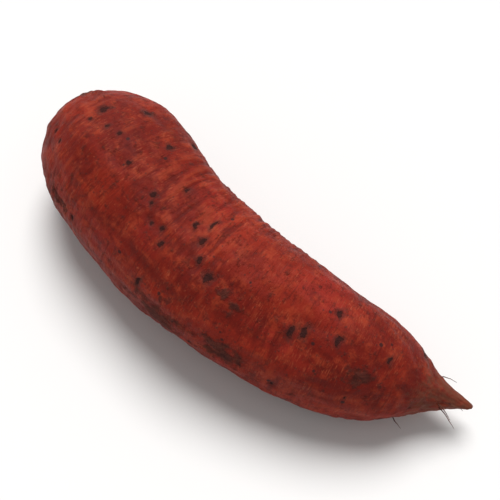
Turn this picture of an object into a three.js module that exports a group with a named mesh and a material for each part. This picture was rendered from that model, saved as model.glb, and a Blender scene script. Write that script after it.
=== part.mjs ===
// A sweet potato: one storage root, lying on its side as picked.
// Millimetres, +Z up. The crown, where the root hung from its stem, points to -X and the
// tapering tail to +X. The root bows towards -Y and rests on its underside at Z = 0.

import * as THREE from 'three';
import { mergeVertices } from 'three/addons/utils/BufferGeometryUtils.js';

// ---- driving dimensions ----

// The middle line of the root, from the crown to the tip of the tail: X and Y seen from
// above, Z the height of the middle line over the surface that the root rests on.
const MIDDLE_LINE = [
  [-83, 0, 25.5],
  [-50, -3, 26.0],
  [-18, -12.5, 25.4],
  [8, -15.5, 24.6],
  [36, -13.5, 22.0],
  [62, -9, 18.4],
  [80, -3.5, 15.0],
  [94, 2, 12.5],
];

// Fullness at evenly spaced stations from crown to tail. Times the half-height of a unit
// circle at that station, it is the radius of the root, so equal values would be an egg.
const FULLNESS = [43, 39, 34, 29.5, 26.6, 25.4, 25, 25, 25.5, 23, 9];

const OVALNESS = 0.025;        // how far the section leaves a circle, as a share of its radius
const THREE_SIDEDNESS = 0.018; // the same, for a slight three-cornered section
const SECTION_TWIST = 1.3;     // how far the section turns from crown to tail, in radians

// Broad hollows and swellings in the side of the root. `along` runs from 0 at the crown to
// 1 at the tail, `around` is in degrees, with 0 facing +Y and 90 facing up, and `depth` is
// in millimetres, with a swelling below 0.
const DENTS = [
  { along: 0.31, around: 20, depth: 2.2, reach: 19 },
  { along: 0.4, around: 75, depth: 0.9, reach: 12 },
  { along: 0.62, around: 115, depth: 1.1, reach: 11 },
  { along: 0.48, around: 205, depth: 1.2, reach: 13 },
  { along: 0.24, around: 320, depth: 1.1, reach: 12 },
  { along: 0.72, around: 10, depth: 1.2, reach: 11 },
  { along: 0.2, around: 130, depth: -1.0, reach: 15 },
  { along: 0.8, around: 80, depth: -0.9, reach: 10 },
  { along: 0.66, around: 250, depth: 0.9, reach: 9 },
];

// The corky knob left where the stem broke off, beside the end of the middle line.
const CROWN_KNOB = { along: 0.03, around: 40, depth: -2.2, reach: 5 };

// The grid that covers the surface: quads along the root and across each square end face.
const QUADS_ALONG = 29;
const QUADS_ACROSS = 11;

const SKIN_COLOUR = 0x7f2d20;
const SKIN_ROUGHNESS = 0.6;

// ---- the root ----

const middleLine = new THREE.CatmullRomCurve3(
  MIDDLE_LINE.map(([x, y, z]) => new THREE.Vector3(x, y, z)),
);
const fullness = new THREE.SplineCurve(
  FULLNESS.map((value, station) => new THREE.Vector2(station, value)),
);

// The side and upward directions of the section at a place along the middle line.
function sectionAxes(along) {
  const ahead = middleLine.getTangentAt(along);
  const side = new THREE.Vector3(0, 0, 1).cross(ahead).normalize();
  return { side, up: ahead.clone().cross(side) };
}

// The gently oval and three-cornered section, as a factor on its radius.
function sectionFactor(along, around) {
  const turned = around - SECTION_TWIST * along;
  return 1 + OVALNESS * Math.cos(2 * turned) + THREE_SIDEDNESS * Math.cos(3 * turned);
}

// The smooth surface, in the direction of a point on the unit sphere whose X axis is the
// middle line. `outward` points away from that line.
function smoothSurface(direction) {
  const along = (1 + direction.x) / 2;
  const { side, up } = sectionAxes(along);
  const around = Math.atan2(direction.z, direction.y);
  const outward = side.multiplyScalar(direction.y).addScaledVector(up, direction.z);
  const size = fullness.getPoint(along).y * sectionFactor(along, around);
  return { point: middleLine.getPointAt(along).addScaledVector(outward, size), outward };
}

// The centre of a dent on the smooth surface.
function dentCentre({ along, around }) {
  const x = 2 * along - 1;
  const across = Math.sqrt(1 - x * x);
  const angle = THREE.MathUtils.degToRad(around);
  const direction = new THREE.Vector3(x, across * Math.cos(angle), across * Math.sin(angle));
  return smoothSurface(direction).point;
}

const dents = [...DENTS, CROWN_KNOB].map((dent) => ({ ...dent, centre: dentCentre(dent) }));

// The real surface: the smooth one with its dents, pressed flat where it would pass below
// the surface that the root rests on.
function rootSurface(direction) {
  const { point, outward } = smoothSurface(direction);
  const sunk = dents.reduce(
    (sum, { centre, depth, reach }) => sum + depth * Math.exp(-((point.distanceTo(centre) / reach) ** 2)),
    0,
  );
  point.addScaledVector(outward.normalize(), -sunk);
  point.z = Math.max(point.z, 0);
  return point;
}

// A closed skin of even quads: a cube, blown up to a sphere and laid over the root.
function rootGeometry() {
  const cube = new THREE.BoxGeometry(2, 2, 2, QUADS_ALONG, QUADS_ACROSS, QUADS_ACROSS);
  cube.deleteAttribute('normal');
  cube.deleteAttribute('uv');
  const skin = mergeVertices(cube);
  const places = skin.attributes.position;
  const direction = new THREE.Vector3();
  for (let i = 0; i < places.count; i += 1) {
    direction.fromBufferAttribute(places, i);
    direction.set(...direction.toArray().map((value) => Math.tan((value * Math.PI) / 4)));
    places.setXYZ(i, ...rootSurface(direction.normalize()).toArray());
  }
  skin.computeVertexNormals();
  return skin;
}

// Puts the origin under the middle of the root, on the surface that it rests on.
function centreOverOrigin(geometry) {
  geometry.computeBoundingBox();
  const centre = geometry.boundingBox.getCenter(new THREE.Vector3());
  geometry.translate(-centre.x, -centre.y, 0);
}

function sweetPotato() {
  const geometry = rootGeometry();
  centreOverOrigin(geometry);
  const skin = new THREE.MeshStandardMaterial({
    color: SKIN_COLOUR,
    roughness: SKIN_ROUGHNESS,
    metalness: 0,
  });
  const mesh = new THREE.Mesh(geometry, skin);
  mesh.name = 'sweet_potato';
  return mesh;
}

const model = new THREE.Group();
model.add(sweetPotato());

export default model;
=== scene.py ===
"""A sweet potato lying on a pale floor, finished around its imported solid.

The skin is a fine copy of the solid. It is welded, subdivided and then carved with the
relief of a real root: broad lumps, veins along it, wrinkles across it, the scars that its
side roots left, the corky crown and the stringy tail. What the carving knows about each
point, such as how deep in a scar it lies, goes to the material as attributes of the mesh.
The mesh also carries a flat map for its baked textures, and thin hair roots grow from it.
"""

import math
from collections import namedtuple

import bmesh
import bpy
import numpy as np
from mathutils import Matrix, Vector, noise


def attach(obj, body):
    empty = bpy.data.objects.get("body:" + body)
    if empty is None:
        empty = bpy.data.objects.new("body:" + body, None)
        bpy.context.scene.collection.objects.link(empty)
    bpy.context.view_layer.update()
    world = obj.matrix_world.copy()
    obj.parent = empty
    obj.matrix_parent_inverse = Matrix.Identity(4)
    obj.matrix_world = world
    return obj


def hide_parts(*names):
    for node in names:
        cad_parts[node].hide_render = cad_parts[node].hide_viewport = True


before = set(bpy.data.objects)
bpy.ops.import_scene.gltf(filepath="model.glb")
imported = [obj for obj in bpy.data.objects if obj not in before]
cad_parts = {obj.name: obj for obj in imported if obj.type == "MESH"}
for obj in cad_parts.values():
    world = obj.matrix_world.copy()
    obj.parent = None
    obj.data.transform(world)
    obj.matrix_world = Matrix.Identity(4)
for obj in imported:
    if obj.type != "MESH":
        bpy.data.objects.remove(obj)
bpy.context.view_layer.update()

NODE = "sweet_potato"
MM = 0.001

# ---- the skin's mesh ----

WELD_DISTANCE = 0.01 * MM
SUBDIVISIONS = 3
SEED = 11

# The middle line goes through the middles of the slices between SLICE_EDGES cuts, without the
# two end slices, as a polynomial of LINE_DEGREE kept as LINE_POINTS points. Vertices are
# matched to it in SEARCH_PARTS parts, to save memory.
SLICE_EDGES, LINE_DEGREE, LINE_POINTS = 25, 5, 300
SEARCH_PARTS = 40

# ---- the skin's flat map ----

# The root's side is a sheet cut along its underside, and each end is a disc above the sheet.
# Each end is END_SHARE of the root's length. The rest are shares of the map, and DISC_SCALE
# is the share that a millimetre takes. CUT_TURN, in turns, puts the cut on the underside.
MAP_NAME = "OFBake"
END_SHARE, CUT_TURN = 0.05, 0.25
SHEET_CORNER, SHEET_WIDTH, SHEET_HEIGHT = (0.03, 0.01), 0.94, 0.74
CROWN_DISC, TAIL_DISC, DISC_SCALE = (0.25, 0.88), (0.75, 0.88), 0.0042

# ---- the relief, in millimetres: how far it stands proud, and the size of its features ----

LUMP_HEIGHT, LUMP_SIZE = 0.7, 24
KNOLL_HEIGHT, KNOLL_SIZE = 0.26, 8
VEIN_HEIGHT, VEIN_LENGTH, VEIN_WIDTH = 0.25, 55, 7
WRINKLE_HEIGHT, WRINKLE_LENGTH, WRINKLE_WIDTH = 0.22, 12, 2.2
GRAIN_HEIGHT, GRAIN_SIZE = 0.03, 1.3

# The noises that break the outlines of the marks. A patch that is BIG_PATCH wide or more
# takes the broad one in place of the ragged one.
RAGGED_SIZE, BROAD_SIZE, BIG_PATCH = 1.6, 3.5, 3
LOBE_LENGTH, LOBE_WIDTH = 7, 5

# The hollow side of the root's waist: shares of the root's length, and degrees round it.
WAIST_ALONG, WAIST_REACH, WAIST_AROUND = 0.42, 0.13, 55

# ---- the root scars ----

# `along` runs from 0 at the crown to 1 at the tail, and `around` is in degrees, with 0
# facing +Y and 90 facing up. `wide` is half the scar's size around the root and `long`
# half its size along it, and `deep` its depth, all in millimetres.
Scar = namedtuple("Scar", "along around wide long deep")

# The marks of a scar, a patch and the crown fade out this far above and below their middle,
# in millimetres, so that they stay on their own side of the root.
SCAR_REACH, PATCH_REACH, CROWN_REACH = 6, 8, 9

# The scars that show from above, from the crown to the tail.
UPPER_SCARS = [
    Scar(0.07, 120, 0.9, 0.5, 0.18),
    Scar(0.10, 124, 0.7, 0.6, 0.18),
    Scar(0.12, 91, 0.8, 0.5, 0.18),
    Scar(0.12, 74, 2.2, 1.0, 0.24),
    Scar(0.16, 86, 0.9, 0.5, 0.21),
    Scar(0.17, 49, 1.6, 1.1, 0.24),
    Scar(0.19, 84, 0.9, 0.5, 0.21),
    Scar(0.25, 93, 1.0, 0.5, 0.21),
    Scar(0.26, 58, 1.5, 0.9, 0.3),
    Scar(0.33, 95, 1.2, 0.8, 0.24),
    Scar(0.34, 100, 1.0, 0.6, 0.21),
    Scar(0.36, 70, 1.0, 0.5, 0.21),
    Scar(0.37, 111, 0.9, 0.6, 0.21),
    Scar(0.39, 107, 0.9, 0.7, 0.21),
    Scar(0.41, 116, 1.1, 0.8, 0.24),
    Scar(0.43, 87, 1.4, 0.6, 0.3),
    Scar(0.45, 76, 2.4, 0.5, 0.27),
    Scar(0.46, 93, 1.5, 0.8, 0.3),
    Scar(0.48, 106, 1.3, 0.9, 0.24),
    Scar(0.51, 112, 1.9, 1.2, 0.3),
    Scar(0.68, 112, 2.1, 1.0, 0.36),
    Scar(0.70, 106, 2.2, 0.9, 0.36),
    Scar(0.74, 75, 1.6, 0.9, 0.3),
    Scar(0.76, 98, 1.9, 0.9, 0.3),
    Scar(0.86, 88, 1.3, 0.6, 0.24),
]

# The other scars lie in loose rows down the hidden sides, one row at each of these angles.
SCAR_ROWS = [18, 165, 212, 258, 305, 345]
SCARS_IN_A_ROW, ROW_START, ROW_END = 8, 0.08, 0.92
ROW_SCAR_SIZES, ROW_SCAR_ODDS = [0.6, 0.9, 1.3, 1.9], [0.35, 0.3, 0.2, 0.15]

# Brown, corky patches where the skin was rubbed or a thicker side root broke off.
PATCHES = [
    Scar(0.55, 114, 3.0, 2.4, 0.25),
    Scar(0.58, 120, 2.4, 2.0, 0.2),
    Scar(0.82, 128, 3.4, 3.0, 0.35),
    Scar(0.17, 163, 2.6, 6.0, 0.3),
    Scar(0.47, 170, 5.0, 12.0, 0.15),
    Scar(0.60, 165, 4.0, 8.0, 0.15),
    Scar(0.30, 300, 3.5, 4.5, 0.2),
    Scar(0.66, 340, 2.8, 3.5, 0.25),
    Scar(0.75, 215, 3.0, 5.0, 0.2),
    Scar(0.22, 20, 2.4, 3.0, 0.25),
]

# ---- the crown and the tail, in millimetres ----

CROWN = Scar(0.035, 38, 4.6, 3.2, 0.7)
CROWN_PUCKERS = 11
TAIL_REACH, TAIL_TIP = 26, 3
RIB_HEIGHT, RIB_LENGTH, RIB_WIDTH = 0.35, 30, 2.2
TAIL_STRING_REACH, TAIL_STRING_LENGTH, TAIL_STRING_BEND = 13, 7, 1.6
TAIL_STRING_SLIMMING = 0.4

# ---- the hair roots ----

# Each is placed like a scar, and its length is in millimetres.
HairRoot = namedtuple("HairRoot", "along around length")

HAIR_ROOTS = [
    HairRoot(0.995, 40, 6),
    HairRoot(0.98, 150, 7),
    HairRoot(0.97, 250, 9),
    HairRoot(0.95, 345, 7),
    HairRoot(0.92, 215, 5),
    HairRoot(0.78, 325, 8),
    HairRoot(0.44, 335, 7),
    HairRoot(0.05, 300, 6),
]

# Millimetres, and the tip's share of the thickness. Each root starts a little inside the skin.
HAIR_THICKNESS, HAIR_TIP, HAIR_DEPTH = 0.5, 0.25, 0.6
HAIR_STEPS, HAIR_WAVINESS, HAIR_DROOP = 12, 0.16, 0.07

# How much a hair root heads out of the skin and towards the tail at first.
HAIR_OUTWARD, HAIR_TAILWARD = 0.8, 0.7

# ---- the camera, the light and the floor ----

CAMERA_AZIMUTH = 37
CAMERA_ELEVATION = 65
LENS_MM = 85
FRAME_FILL = 0.86
SENSOR_MM = 36
KEY_LIGHT, KEY_SPREAD = 3.3, 34
HORIZON_LIGHT, ZENITH_LIGHT, BACKDROP_LIGHT = 0.42, 0.36, 1.0

# The key light's direction, in the camera's own axes.
KEY_UP, KEY_BACK, KEY_RIGHT = 0.8, 0.6, 0.05

# The floor's side is in metres.
FLOOR_SIZE = 30
FLOOR_COLOUR, FLOOR_ROUGHNESS = (0.80, 0.79, 0.78, 1), 0.9


# ======== the straightened root ========

def middle_line(corners):
    """Points down the middle of the root, found from slices of the solid, as an array."""
    low, high = corners[:, 0].min(), corners[:, 0].max()
    edges = np.linspace(low, high, SLICE_EDGES)
    middles = []
    for start, stop in zip(edges[1:-2], edges[2:-1]):
        ring = corners[(corners[:, 0] >= start) & (corners[:, 0] <= stop)]
        middles.append([(start + stop) / 2, *(ring[:, 1:].min(0) + ring[:, 1:].max(0)) / 2])
    middles = np.array(middles)
    x = np.linspace(low, high, LINE_POINTS)
    reach = np.clip(x, middles[0, 0], middles[-1, 0])
    y, z = (np.polyval(np.polyfit(middles[:, 0], middles[:, i], LINE_DEGREE), reach) for i in (1, 2))
    return np.stack([x, y, z], 1)


class Skin:
    """Each vertex of a mesh made from the solid, in millimetres, and its place on the root."""

    def __init__(self, mesh, corners):
        count = len(mesh.vertices)
        places = np.empty(count * 3)
        mesh.vertices.foreach_get("co", places)
        self.points = places.reshape(-1, 3) / MM
        normals = np.empty(count * 3)
        mesh.vertex_normals.foreach_get("vector", normals)
        self.normals = normals.reshape(-1, 3)
        self._straighten(middle_line(corners))

    def _straighten(self, line):
        """Finds how far along the middle line each vertex lies, and where in its section."""
        steps = np.gradient(line, axis=0)
        steps /= np.linalg.norm(steps, axis=1, keepdims=True)
        sides = np.cross([0, 0, 1], steps)
        sides /= np.linalg.norm(sides, axis=1, keepdims=True)
        lengths = np.linalg.norm(np.diff(line, axis=0), axis=1)
        arc = np.concatenate([[0], np.cumsum(lengths)])
        nearest = np.concatenate([
            ((part[:, None] - line[None]) ** 2).sum(2).argmin(1)
            for part in np.array_split(self.points, SEARCH_PARTS)
        ])
        self.axis = steps[nearest]
        offset = self.points - line[nearest]
        reach = arc[nearest] + (offset * self.axis).sum(1)
        side = (offset * sides[nearest]).sum(1)
        up = (offset * np.cross(steps, sides)[nearest]).sum(1)
        self.length = arc[-1]
        self.along = np.clip(reach / self.length, 0, 1)
        self.around = np.arctan2(up, side)
        self.radius = np.hypot(side, up)
        self.straight = np.stack([reach, side, up], 1)

    def noise(self, sizes, octaves, shift=0):
        """Fractal noise of a size along, across and up the straightened root, about -1 to 1."""
        places = self.straight / np.array(sizes) + shift
        field = np.array([noise.fractal(place, 0.8, 2.0, octaves) for place in places.tolist()])
        return np.clip(field / (2 * field.std()), -1.5, 1.5)

    def nearest(self, scar):
        """The vertex at a scar's place."""
        turn = np.radians(scar.around) - self.around
        across = np.abs(np.angle(np.exp(1j * turn))) * np.maximum(self.radius, 1)
        return (across ** 2 + ((scar.along - self.along) * self.length) ** 2).argmin()

    def local(self, scar):
        """Each vertex's distance around and along the root from a scar, and towards its centre."""
        middle = self.nearest(scar)
        normal = self.normals[middle]
        around = np.cross(normal, self.axis[middle])
        around /= np.linalg.norm(around)
        away = self.points - self.points[middle]
        return away @ around, away @ np.cross(around, normal), away @ normal


def fade(low, high, value):
    """0 below low, 1 above high and smooth between."""
    share = np.clip((value - low) / (high - low), 0, 1)
    return share * share * (3 - 2 * share)


# ======== the relief ========

def in_the_bend(skin):
    """How near each vertex is to the hollow side of the waist, where the skin is bunched up."""
    by_waist = np.exp(-((skin.along - WAIST_ALONG) / WAIST_REACH) ** 2)
    return by_waist * fade(0.2, 1, np.cos(skin.around - math.radians(WAIST_AROUND)))


def carve_body(skin):
    """Broad lumps, veins along the root and wrinkles across it."""
    lumps = LUMP_HEIGHT * skin.noise([LUMP_SIZE * 1.4, LUMP_SIZE, LUMP_SIZE], 1)
    knolls = KNOLL_HEIGHT * skin.noise([KNOLL_SIZE * 1.3, KNOLL_SIZE, KNOLL_SIZE], 2, 20)
    veins = skin.noise([VEIN_LENGTH, VEIN_WIDTH, VEIN_WIDTH], 2, 40)
    wrinkles = skin.noise([WRINKLE_WIDTH, WRINKLE_LENGTH, WRINKLE_LENGTH], 2, 60)
    wrinkled = 0.35 + 0.65 * fade(-0.5, 0.8, skin.noise([22, 14, 14], 1, 80)) + in_the_bend(skin)
    grain = GRAIN_HEIGHT * skin.noise([GRAIN_SIZE] * 3, 1, 100)
    skin.veins = veins
    skin.wrinkles = wrinkles * wrinkled
    return lumps + knolls + VEIN_HEIGHT * veins + WRINKLE_HEIGHT * skin.wrinkles + grain


def row_scars(random):
    """Scars in loose rows on the hidden sides, of mixed sizes."""
    scars = []
    for row in SCAR_ROWS:
        for place in np.linspace(ROW_START, ROW_END, SCARS_IN_A_ROW):
            size = random.choice(ROW_SCAR_SIZES, p=ROW_SCAR_ODDS)
            scars.append(Scar(
                np.clip(place + random.normal(0, 0.03), 0.04, 0.95),
                row + random.normal(0, 7),
                size,
                size * random.uniform(0.4, 0.7),
                0.12 + 0.14 * size,
            ))
    return scars


def carve_scar(skin, scar, ragged):
    """A slit across the root in a shallow hollow, with a raised brow on its crown side.

    Returns its relief, and how much each vertex belongs to the slit and to its rim."""
    across, along, lift = skin.local(scar)
    near = np.exp(-(lift / SCAR_REACH) ** 4)
    bent = along - 0.22 * across ** 2 / scar.wide + 0.35 * scar.long * ragged
    slit = np.exp(-(np.abs(across) / scar.wide) ** 3 - (bent / scar.long) ** 2) * near
    brow = np.exp(-(across / (1.4 * scar.wide)) ** 2 - (bent / scar.long + 1.7) ** 2) * near
    rim = np.exp(-(across / (1.9 * scar.wide)) ** 2 - (bent / (2.4 * scar.long)) ** 2) * near
    hollow = np.exp(-(across ** 2 + along ** 2) / (2.6 * scar.wide) ** 2) * near
    relief = scar.deep * (0.5 * brow - slit - 0.45 * hollow)
    return relief, slit, rim


def carve_patch(skin, patch, lobed, ragged):
    """A rough, slightly sunken patch. Returns its relief and how near its middle each vertex is."""
    across, along, lift = skin.local(patch)
    distance = np.hypot(across / patch.wide, along / patch.long) * (1 + 0.45 * lobed)
    spread = np.exp(-distance ** 2 - (lift / PATCH_REACH) ** 4) + 0.2 * ragged
    return patch.deep * fade(0.32, 0.62, spread) * (0.5 * ragged - 0.6), spread


def carve_crown(skin, lobed, ragged):
    """The ragged crust where the stem broke off, with puckers that run into it.

    Returns its relief and its share."""
    across, along, lift = skin.local(CROWN)
    distance = np.hypot(across / CROWN.wide, along / CROWN.long) * (1 + 0.3 * lobed) + 0.16 * ragged
    near = np.exp(-(lift / CROWN_REACH) ** 4)
    crust = fade(1.25, 0.7, distance) * near
    crater = fade(0.55, 0.1, distance) * near
    turn = np.arctan2(along, across)
    puckers = np.sin(CROWN_PUCKERS * turn + 2.5 * lobed) * np.exp(-((distance - 1.9) / 0.9) ** 2)
    relief = CROWN.deep * (crust * (0.6 + 0.5 * ragged) - 1.8 * crater + 0.5 * puckers * near)
    return relief, fade(1.9, 0.1, distance) * near


def carve_tail(skin):
    """Ribs that run down into the tail. Returns their relief and the tail's share."""
    share = fade(skin.length - TAIL_REACH, skin.length - TAIL_TIP, skin.straight[:, 0])
    ribs = skin.noise([RIB_LENGTH, RIB_WIDTH, RIB_WIDTH], 2, 120)
    return RIB_HEIGHT * share * ribs, share


def draw_out_tail(skin):
    """Pulls the tail's tip out to the thin, bent stub of the root that it hung from."""
    share = fade(skin.length - TAIL_STRING_REACH, skin.length, skin.straight[:, 0]) ** 2
    tip = skin.points[skin.straight[:, 0].argmax()]
    away = skin.points - tip
    inward = away - skin.axis * (away * skin.axis).sum(1)[:, None]
    skin.points -= inward * (TAIL_STRING_SLIMMING * share)[:, None]
    skin.points += skin.axis * (TAIL_STRING_LENGTH * share)[:, None]
    skin.points[:, 1] += TAIL_STRING_BEND * share


def carve(skin):
    """Moves the skin's vertices, and keeps what the material needs to know of them."""
    random = np.random.default_rng(SEED)
    ragged = skin.noise([RAGGED_SIZE] * 3, 2, 140)
    broad = skin.noise([BROAD_SIZE] * 3, 2, 160)
    lobed = skin.noise([LOBE_LENGTH, LOBE_WIDTH, LOBE_WIDTH], 2, 180)
    relief = carve_body(skin)
    skin.scar = np.zeros(len(relief))
    skin.rim = np.zeros(len(relief))
    skin.patch = np.zeros(len(relief))
    for scar in UPPER_SCARS + row_scars(random):
        change, slit, rim = carve_scar(skin, scar, ragged)
        relief += change
        skin.scar = np.maximum(skin.scar, slit)
        skin.rim = np.maximum(skin.rim, rim)
    for patch in PATCHES:
        change, share = carve_patch(skin, patch, lobed, ragged if patch.wide < BIG_PATCH else broad)
        relief += change
        skin.patch = np.maximum(skin.patch, share)
    crown_relief, skin.cork = carve_crown(skin, lobed, ragged)
    tail_relief, skin.tail = carve_tail(skin)
    relief += crown_relief + tail_relief
    skin.points += skin.normals * relief[:, None]
    draw_out_tail(skin)
    skin.points[:, 2] = np.maximum(skin.points[:, 2], 0)


# ======== the skin as a mesh ========

def places_on_map(place, face):
    """Where the vertices of one of the cage's faces go on the flat map."""
    along, around = place.along[face], place.around[face]
    if END_SHARE < along.mean() < 1 - END_SHARE:
        middle = np.angle(np.exp(1j * around).mean())
        turns = (middle + np.angle(np.exp(1j * (around - middle)))) / (2 * np.pi) + CUT_TURN
        turns -= math.floor(middle / (2 * np.pi) + CUT_TURN)
        left, bottom = SHEET_CORNER
        return np.stack([left + SHEET_WIDTH * turns, bottom + SHEET_HEIGHT * along], 1)
    is_crown = along.mean() < END_SHARE
    depth = (along if is_crown else 1 - along) * place.length
    reach = DISC_SCALE * np.hypot(place.radius[face], depth)
    disc = CROWN_DISC if is_crown else TAIL_DISC
    return np.array(disc) + np.stack([reach * np.cos(around), reach * np.sin(around)], 1)


def lay_out(mesh, corners):
    """Gives the cage its flat map, for the baked textures."""
    place = Skin(mesh, corners)
    flat = [places_on_map(place, list(face.vertices)) for face in mesh.polygons]
    sheet = mesh.uv_layers.new(name=MAP_NAME)
    sheet.uv.foreach_set("vector", np.concatenate(flat).astype(np.float32).ravel())


def fine_mesh(node):
    """The node's mesh, welded, turned to quads and subdivided, with its welded corners."""
    shape = bmesh.new()
    shape.from_mesh(node.data)
    bmesh.ops.remove_doubles(shape, verts=shape.verts, dist=WELD_DISTANCE)
    bmesh.ops.join_triangles(
        shape, faces=shape.faces, angle_face_threshold=math.pi, angle_shape_threshold=math.pi)
    mesh = bpy.data.meshes.new("skin_cage")
    shape.to_mesh(mesh)
    shape.free()
    corners = np.array([corner.co[:] for corner in mesh.vertices]) / MM
    lay_out(mesh, corners)
    cage = bpy.data.objects.new("skin_cage", mesh)
    bpy.context.collection.objects.link(cage)
    smoother = cage.modifiers.new("fine", "SUBSURF")
    smoother.levels = smoother.render_levels = SUBDIVISIONS
    bpy.context.view_layer.update()
    fine = bpy.data.meshes.new_from_object(cage.evaluated_get(bpy.context.evaluated_depsgraph_get()))
    bpy.data.objects.remove(cage)
    return fine, corners


def store(mesh, name, values):
    """Keeps a number or a vector for each vertex of a mesh, for its material to read."""
    kind, field = ("FLOAT", "value") if values.ndim == 1 else ("FLOAT_VECTOR", "vector")
    mesh.attributes.new(name, kind, "POINT").data.foreach_set(field, values.astype(np.float32).ravel())


def make_skin():
    """The finished skin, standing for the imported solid, and what is known of its vertices."""
    mesh, corners = fine_mesh(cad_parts[NODE])
    skin = Skin(mesh, corners)
    carve(skin)
    mesh.vertices.foreach_set("co", (skin.points * MM).ravel())
    for name in ("straight", "scar", "rim", "patch", "cork", "tail", "veins", "wrinkles"):
        store(mesh, name, getattr(skin, name))
    mesh.materials.clear()
    mesh.materials.append(skin_material())
    mesh.shade_smooth()
    mesh.update()
    mesh.name = "skin"
    piece = bpy.data.objects.new("skin", mesh)
    bpy.context.collection.objects.link(piece)
    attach(piece, "root")
    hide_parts(NODE)
    return piece, skin


# ======== the hair roots ========

def hair_path(skin, root, random):
    """Points along a hair root, from inside the skin out and down towards the tail."""
    start = skin.nearest(root)
    normal = skin.normals[start]
    place = skin.points[start] - normal * HAIR_DEPTH
    heading = normal * HAIR_OUTWARD + skin.axis[start] * HAIR_TAILWARD
    stride = (root.length + HAIR_DEPTH) / HAIR_STEPS
    path = [place]
    for _ in range(HAIR_STEPS):
        place = place + heading / np.linalg.norm(heading) * stride
        place[2] = max(place[2], HAIR_THICKNESS / 2)
        path.append(place)
        heading = heading + random.normal(0, HAIR_WAVINESS, 3) - [0, 0, HAIR_DROOP]
    return np.array(path)


def make_hair_roots(skin):
    """The few thin, tapering roots that are left on the skin, most of them by the tail."""
    random = np.random.default_rng(SEED)
    curve = bpy.data.curves.new("hair_roots", "CURVE")
    curve.dimensions = "3D"
    curve.bevel_depth = HAIR_THICKNESS / 2 * MM
    curve.bevel_resolution = 1
    curve.use_fill_caps = True
    for root in HAIR_ROOTS:
        path = hair_path(skin, root, random)
        spline = curve.splines.new("POLY")
        spline.points.add(len(path) - 1)
        for point, place, thickness in zip(spline.points, path, np.linspace(1, HAIR_TIP, len(path))):
            point.co = (*place * MM, 1)
            point.radius = thickness
    curve.materials.append(hair_material())
    piece = bpy.data.objects.new("hair_roots", curve)
    bpy.context.collection.objects.link(piece)
    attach(piece, "root")


# ======== the skin's material ========

# A mix node's sockets for colours, which share their names with those for other kinds.
COLOUR_A, COLOUR_B, COLOUR_RESULT = 6, 7, 2


class Nodes:
    """Builds the nodes of a material or a world. A number, colour or socket can go to any input."""

    def __init__(self, owner, shader="Principled BSDF"):
        owner.use_nodes = True
        self.tree = owner.node_tree
        self.shader = self.tree.nodes[shader]

    def put(self, socket, value):
        if isinstance(value, bpy.types.NodeSocket):
            self.tree.links.new(value, socket)
        else:
            socket.default_value = value

    def attribute(self, name, output="Fac"):
        node = self.tree.nodes.new("ShaderNodeAttribute")
        node.attribute_name = name
        return node.outputs[output]

    def math(self, operation, *values, clamp=False):
        node = self.tree.nodes.new("ShaderNodeMath")
        node.operation = operation
        node.use_clamp = clamp
        for socket, value in zip(node.inputs, values):
            self.put(socket, value)
        return node.outputs[0]

    def remap(self, value, low, high, to_low=0.0, to_high=1.0):
        node = self.tree.nodes.new("ShaderNodeMapRange")
        node.interpolation_type = "SMOOTHSTEP"
        for socket, number in zip(node.inputs, (value, low, high, to_low, to_high)):
            self.put(socket, number)
        return node.outputs[0]

    def scaled(self, vector, sizes):
        node = self.tree.nodes.new("ShaderNodeVectorMath")
        node.operation = "DIVIDE"
        self.put(node.inputs[0], vector)
        self.put(node.inputs[1], sizes)
        return node.outputs[0]

    def noise(self, vector, sizes, detail=3.0, roughness=0.55, distortion=0.0):
        node = self.tree.nodes.new("ShaderNodeTexNoise")
        self.put(node.inputs["Vector"], self.scaled(vector, sizes))
        self.put(node.inputs["Scale"], 1.0)
        self.put(node.inputs["Detail"], detail)
        self.put(node.inputs["Roughness"], roughness)
        self.put(node.inputs["Distortion"], distortion)
        return node.outputs["Fac"]

    def cells(self, vector, sizes):
        node = self.tree.nodes.new("ShaderNodeTexVoronoi")
        self.put(node.inputs["Vector"], self.scaled(vector, sizes))
        self.put(node.inputs["Scale"], 1.0)
        return node.outputs["Distance"], node.outputs["Color"]

    def mix(self, share, first, second):
        node = self.tree.nodes.new("ShaderNodeMix")
        node.data_type = "RGBA"
        self.put(node.inputs["Factor"], share)
        self.put(node.inputs[COLOUR_A], first)
        self.put(node.inputs[COLOUR_B], second)
        return node.outputs[COLOUR_RESULT]

    def bump(self, height, distance, strength, normal=None):
        node = self.tree.nodes.new("ShaderNodeBump")
        self.put(node.inputs["Height"], height)
        self.put(node.inputs["Distance"], distance)
        self.put(node.inputs["Strength"], strength)
        if normal:
            self.put(node.inputs["Normal"], normal)
        return node.outputs[0]


# Each is a linear red, green and blue, and how opaque it is.
DEEP_RED = (0.155, 0.0100, 0.0050, 1)
RED_BROWN = (0.250, 0.0190, 0.0078, 1)
ORANGE_BROWN = (0.345, 0.0460, 0.0165, 1)
ROSE = (0.275, 0.0190, 0.0120, 1)
DUSKY = (0.092, 0.0070, 0.0048, 1)
RUBBED = (0.420, 0.0950, 0.0420, 1)
SCURF_BROWN = (0.062, 0.0170, 0.0135, 1)
SCURF_LIGHT = (0.105, 0.0340, 0.0230, 1)
CORK_BROWN = (0.130, 0.0520, 0.0310, 1)
TAIL_BROWN = (0.145, 0.0430, 0.0240, 1)
CORK_DARK = (0.030, 0.0130, 0.0090, 1)
SCAR_BROWN = (0.030, 0.0105, 0.0100, 1)

# The surfaces are dry: they shine little, and scars and cork add to the roughness.
SPECULAR_LEVEL, DRY_ROUGHNESS = 0.1, 0.28
HAIR_ROUGHNESS, HAIR_MOTTLE = 0.85, 2 * MM


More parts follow.
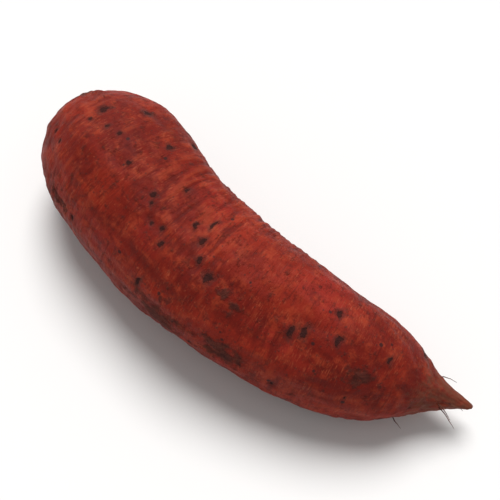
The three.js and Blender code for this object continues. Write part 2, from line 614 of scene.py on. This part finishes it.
def ragged_edge(nodes, place, name, sizes, low, high, raggedness):
    """An attribute's soft spot with a crisp, broken edge, from 0 outside it to 1 inside."""
    broken = nodes.math("SUBTRACT", nodes.noise(place, sizes, 5.0, 0.7), 0.5)
    spot = nodes.math("MULTIPLY_ADD", broken, raggedness, nodes.attribute(name))
    return nodes.remap(spot, low, high)


def skin_marks(nodes, place):
    """Where the scars, rubbed patches, corky crown and stringy tail show, each from 0 to 1."""
    return {
        "scar": ragged_edge(nodes, place, "scar", (0.9, 1.3, 1.3), 0.24, 0.6, 1.6),
        "rim": ragged_edge(nodes, place, "rim", (1.3, 1.3, 1.3), 0.15, 0.85, 1.5),
        "patch": ragged_edge(nodes, place, "patch", (2.3, 2.9, 2.9), 0.15, 0.9, 2.6),
        "cork": ragged_edge(nodes, place, "cork", (1.8, 1.8, 1.8), 0.22, 0.5, 0.9),
        "tail": ragged_edge(nodes, place, "tail", (9, 1.8, 1.8), 0.45, 1.25, 2.0),
    }


def speckled(nodes, place, colour):
    """Small dark specks, and fewer bigger ones, on the skin."""
    fine, _ = nodes.cells(place, (2.3, 2.6, 2.6))
    colour = nodes.mix(nodes.remap(fine, 0.16, 0.1, 0, 0.6), colour, SCURF_BROWN)
    large, pick = nodes.cells(place, (6.5, 6.5, 6.5))
    chosen = nodes.math("GREATER_THAN", pick, 0.5)
    dots = nodes.math("MULTIPLY", nodes.remap(large, 0.13, 0.08, 0, 0.85), chosen)
    return nodes.mix(dots, colour, SCAR_BROWN)


def skin_colour(nodes, place, marks):
    """Red-brown skin with blotches, fine streaks across it, specks, rims and dark scars. It has
    painted shade in the furrows and in the wrinkles' troughs, and painted light on the wrinkles'
    crests.
    """
    blotch = nodes.remap(nodes.noise(place, (26, 17, 17), 2.0), 0.35, 0.68)
    colour = nodes.mix(blotch, DEEP_RED, RED_BROWN)
    rosy = nodes.remap(nodes.noise(place, (38, 22, 22), 2.0, distortion=0.4), 0.5, 0.72, 0, 0.6)
    colour = nodes.mix(rosy, colour, ROSE)
    shaded = nodes.remap(nodes.noise(place, (20, 10, 10), 3.0, 0.6, 0.5), 0.52, 0.7, 0, 0.5)
    colour = nodes.mix(shaded, colour, DUSKY)
    mottle = nodes.remap(nodes.noise(place, (5.0, 4.4, 4.4), 6.0, 0.68), 0.47, 0.68, 0, 0.55)
    colour = nodes.mix(mottle, colour, ORANGE_BROWN)
    dusky = nodes.remap(nodes.noise(place, (3.4, 3.8, 3.8), 6.0, 0.7, 0.3), 0.5, 0.66, 0, 0.6)
    colour = nodes.mix(dusky, colour, DUSKY)
    streaked = nodes.remap(nodes.noise(place, (13, 9, 9), 2.0), 0.42, 0.6)
    streaks = nodes.remap(nodes.noise(place, (0.42, 2.8, 2.8), 3.0, 0.6), 0.54, 0.68, 0, 0.42)
    colour = nodes.mix(nodes.math("MULTIPLY", streaks, streaked), colour, RUBBED)
    dark_streaks = nodes.remap(nodes.noise(place, (0.7, 7.0, 7.0), 3.0, 0.6, 0.3), 0.55, 0.7, 0, 0.6)
    colour = nodes.mix(dark_streaks, colour, DUSKY)
    # Painted shade: the skin is darker down in the furrows between the veins.
    painted_furrow_shade = nodes.remap(nodes.attribute("veins"), -0.1, -1.2, 0, 0.5)
    colour = nodes.mix(painted_furrow_shade, colour, DUSKY)
    # Painted light and shade: the skin is lighter on the crests of the wrinkles and darker in their
    # troughs.
    wrinkles = nodes.attribute("wrinkles")
    colour = nodes.mix(nodes.remap(wrinkles, 0.2, 1.1, 0, 0.4), colour, ORANGE_BROWN)
    colour = nodes.mix(nodes.remap(wrinkles, -0.2, -1.1, 0, 0.6), colour, DUSKY)
    rubbed = nodes.remap(nodes.noise(place, (1.0, 2.0, 2.0), 6.0, 0.75, 0.6), 0.61, 0.67, 0, 0.45)
    colour = speckled(nodes, place, nodes.mix(rubbed, colour, RUBBED))
    colour = nodes.mix(nodes.math("MULTIPLY", marks["rim"], 0.6), colour, SCURF_BROWN)
    crust = nodes.remap(nodes.noise(place, (2.4, 1.7, 1.7), 6.0, 0.75, 0.4), 0.3, 0.72)
    scurf = nodes.mix(crust, SCAR_BROWN, SCURF_LIGHT)
    colour = nodes.mix(nodes.math("MULTIPLY", marks["patch"], 0.8), colour, scurf)
    colour = nodes.mix(nodes.remap(nodes.attribute("cork"), 0.0, 0.5, 0, 0.6), colour, SCURF_BROWN)
    cork = nodes.mix(crust, SCURF_BROWN, CORK_BROWN)
    socket = ragged_edge(nodes, place, "cork", (1.2, 1.2, 1.2), 0.6, 0.95, 0.8)
    colour = nodes.mix(marks["cork"], colour, nodes.mix(socket, cork, CORK_DARK))
    colour = nodes.mix(marks["tail"], colour, TAIL_BROWN)
    scar = nodes.mix(nodes.math("MULTIPLY", crust, 0.6), SCAR_BROWN, SCURF_BROWN)
    return nodes.mix(nodes.math("MULTIPLY", marks["scar"], 0.92), colour, scar)


def skin_roughness(nodes, place, dry):
    """Semi-matt, with drier scars and cork."""
    satin = nodes.remap(nodes.noise(place, (6, 5, 5), 4.0, 0.65), 0.3, 0.7, 0.5, 0.66)
    return nodes.math("MULTIPLY_ADD", dry, DRY_ROUGHNESS, satin, clamp=True)


def skin_bump(nodes, place, dry):
    """The finest wrinkles, grain and flaking, too small for the mesh."""
    wrinkles = nodes.noise(place, (0.5, 4.0, 4.0), 4.0, 0.6)
    normal = nodes.bump(wrinkles, 0.5 * MM, 0.5)
    grain = nodes.noise(place, (0.6, 0.8, 0.8), 5.0, 0.7)
    normal = nodes.bump(grain, 0.35 * MM, 0.5, normal)
    flakes = nodes.math("MULTIPLY", nodes.noise(place, (0.8, 1.1, 1.1), 5.0, 0.7), dry)
    return nodes.bump(flakes, 0.9 * MM, 0.7, normal)


def skin_material():
    material = bpy.data.materials.new("skin")
    nodes = Nodes(material)
    place = nodes.attribute("straight", "Vector")
    marks = skin_marks(nodes, place)
    dry = nodes.math("MAXIMUM", nodes.math("MAXIMUM", marks["patch"], marks["cork"]), marks["scar"])
    nodes.put(nodes.shader.inputs["Base Color"], skin_colour(nodes, place, marks))
    nodes.put(nodes.shader.inputs["Roughness"], skin_roughness(nodes, place, dry))
    nodes.put(nodes.shader.inputs["Normal"], skin_bump(nodes, place, dry))
    nodes.put(nodes.shader.inputs["Specular IOR Level"], SPECULAR_LEVEL)
    return material


def hair_material():
    """Dry brown hair roots, darker and lighter along their length."""
    material = bpy.data.materials.new("hair_roots")
    nodes = Nodes(material)
    place = nodes.tree.nodes.new("ShaderNodeTexCoord").outputs["Object"]
    shade = nodes.remap(nodes.noise(place, (HAIR_MOTTLE,) * 3), 0.35, 0.65)
    nodes.put(nodes.shader.inputs["Base Color"], nodes.mix(shade, SCURF_BROWN, CORK_BROWN))
    nodes.put(nodes.shader.inputs["Roughness"], HAIR_ROUGHNESS)
    nodes.put(nodes.shader.inputs["Specular IOR Level"], SPECULAR_LEVEL)
    return material


# ======== the stage ========

def make_floor():
    mesh = bpy.data.meshes.new("floor")
    half = FLOOR_SIZE / 2
    corners = [(-half, -half, 0), (half, -half, 0), (half, half, 0), (-half, half, 0)]
    mesh.from_pydata(corners, [], [(0, 1, 2, 3)])
    material = bpy.data.materials.new("floor")
    nodes = Nodes(material)
    nodes.put(nodes.shader.inputs["Base Color"], FLOOR_COLOUR)
    nodes.put(nodes.shader.inputs["Roughness"], FLOOR_ROUGHNESS)
    mesh.materials.append(material)
    floor = bpy.data.objects.new("floor", mesh)
    bpy.context.collection.objects.link(floor)


def camera_axes():
    """The camera's right, up and backward directions."""
    azimuth, elevation = math.radians(CAMERA_AZIMUTH), math.radians(CAMERA_ELEVATION)
    right = Vector((math.cos(azimuth), math.sin(azimuth), 0))
    flat = Vector((math.sin(azimuth), -math.cos(azimuth), 0))
    back = flat * math.cos(elevation) + Vector((0, 0, math.sin(elevation)))
    return right, back.cross(right), back


def make_camera(piece):
    """A camera that looks down on the root and frames it whole."""
    right, up, back = camera_axes()
    axes = np.array([right[:], up[:], back[:]])
    seen = np.array([corner.co[:] for corner in piece.data.vertices]) @ axes.T
    low, high = seen.min(0), seen.max(0)
    middle = Vector((low + high) / 2 @ axes)
    width = max(high[0] - low[0], high[1] - low[1])
    data = bpy.data.cameras.new("camera")
    data.lens = LENS_MM
    data.sensor_width = SENSOR_MM
    camera = bpy.data.objects.new("camera", data)
    distance = width / FRAME_FILL * LENS_MM / SENSOR_MM
    turn = Matrix((right, up, back)).transposed().to_4x4()
    camera.matrix_world = Matrix.Translation(middle + back * distance) @ turn
    bpy.context.collection.objects.link(camera)
    bpy.context.scene.camera = camera


def make_sun(name, direction, strength, spread):
    """A light from far away. Its spread, the angle that it fills in degrees, softens shadows."""
    data = bpy.data.lights.new(name, "SUN")
    data.energy = strength
    data.angle = math.radians(spread)
    lamp = bpy.data.objects.new(name, data)
    lamp.rotation_euler = direction.to_track_quat("Z", "Y").to_euler()
    bpy.context.collection.objects.link(lamp)


def make_sky():
    """Soft light from all round, in front of a backdrop as pale as the floor."""
    world = bpy.data.worlds.new("world")
    bpy.context.scene.world = world
    nodes = Nodes(world, "Background")
    direction = nodes.tree.nodes.new("ShaderNodeTexCoord").outputs["Generated"]
    parts = nodes.tree.nodes.new("ShaderNodeSeparateXYZ")
    nodes.put(parts.inputs[0], direction)
    light = nodes.remap(parts.outputs["Z"], 0.0, 0.6, HORIZON_LIGHT, ZENITH_LIGHT)
    seen = nodes.tree.nodes.new("ShaderNodeLightPath").outputs["Is Camera Ray"]
    nodes.put(nodes.shader.inputs["Strength"], nodes.remap(seen, 0.0, 1.0, light, BACKDROP_LIGHT))
    nodes.put(nodes.shader.inputs["Color"], (1, 1, 1, 1))


def make_lights():
    right, up, back = camera_axes()
    direction = up * KEY_UP + back * KEY_BACK + right * KEY_RIGHT
    make_sun("key", direction, KEY_LIGHT, KEY_SPREAD)
    make_sky()
    bpy.context.scene.view_settings.view_transform = "Standard"


skin_piece, skin_facts = make_skin()
make_hair_roots(skin_facts)
make_floor()
make_camera(skin_piece)
make_lights()
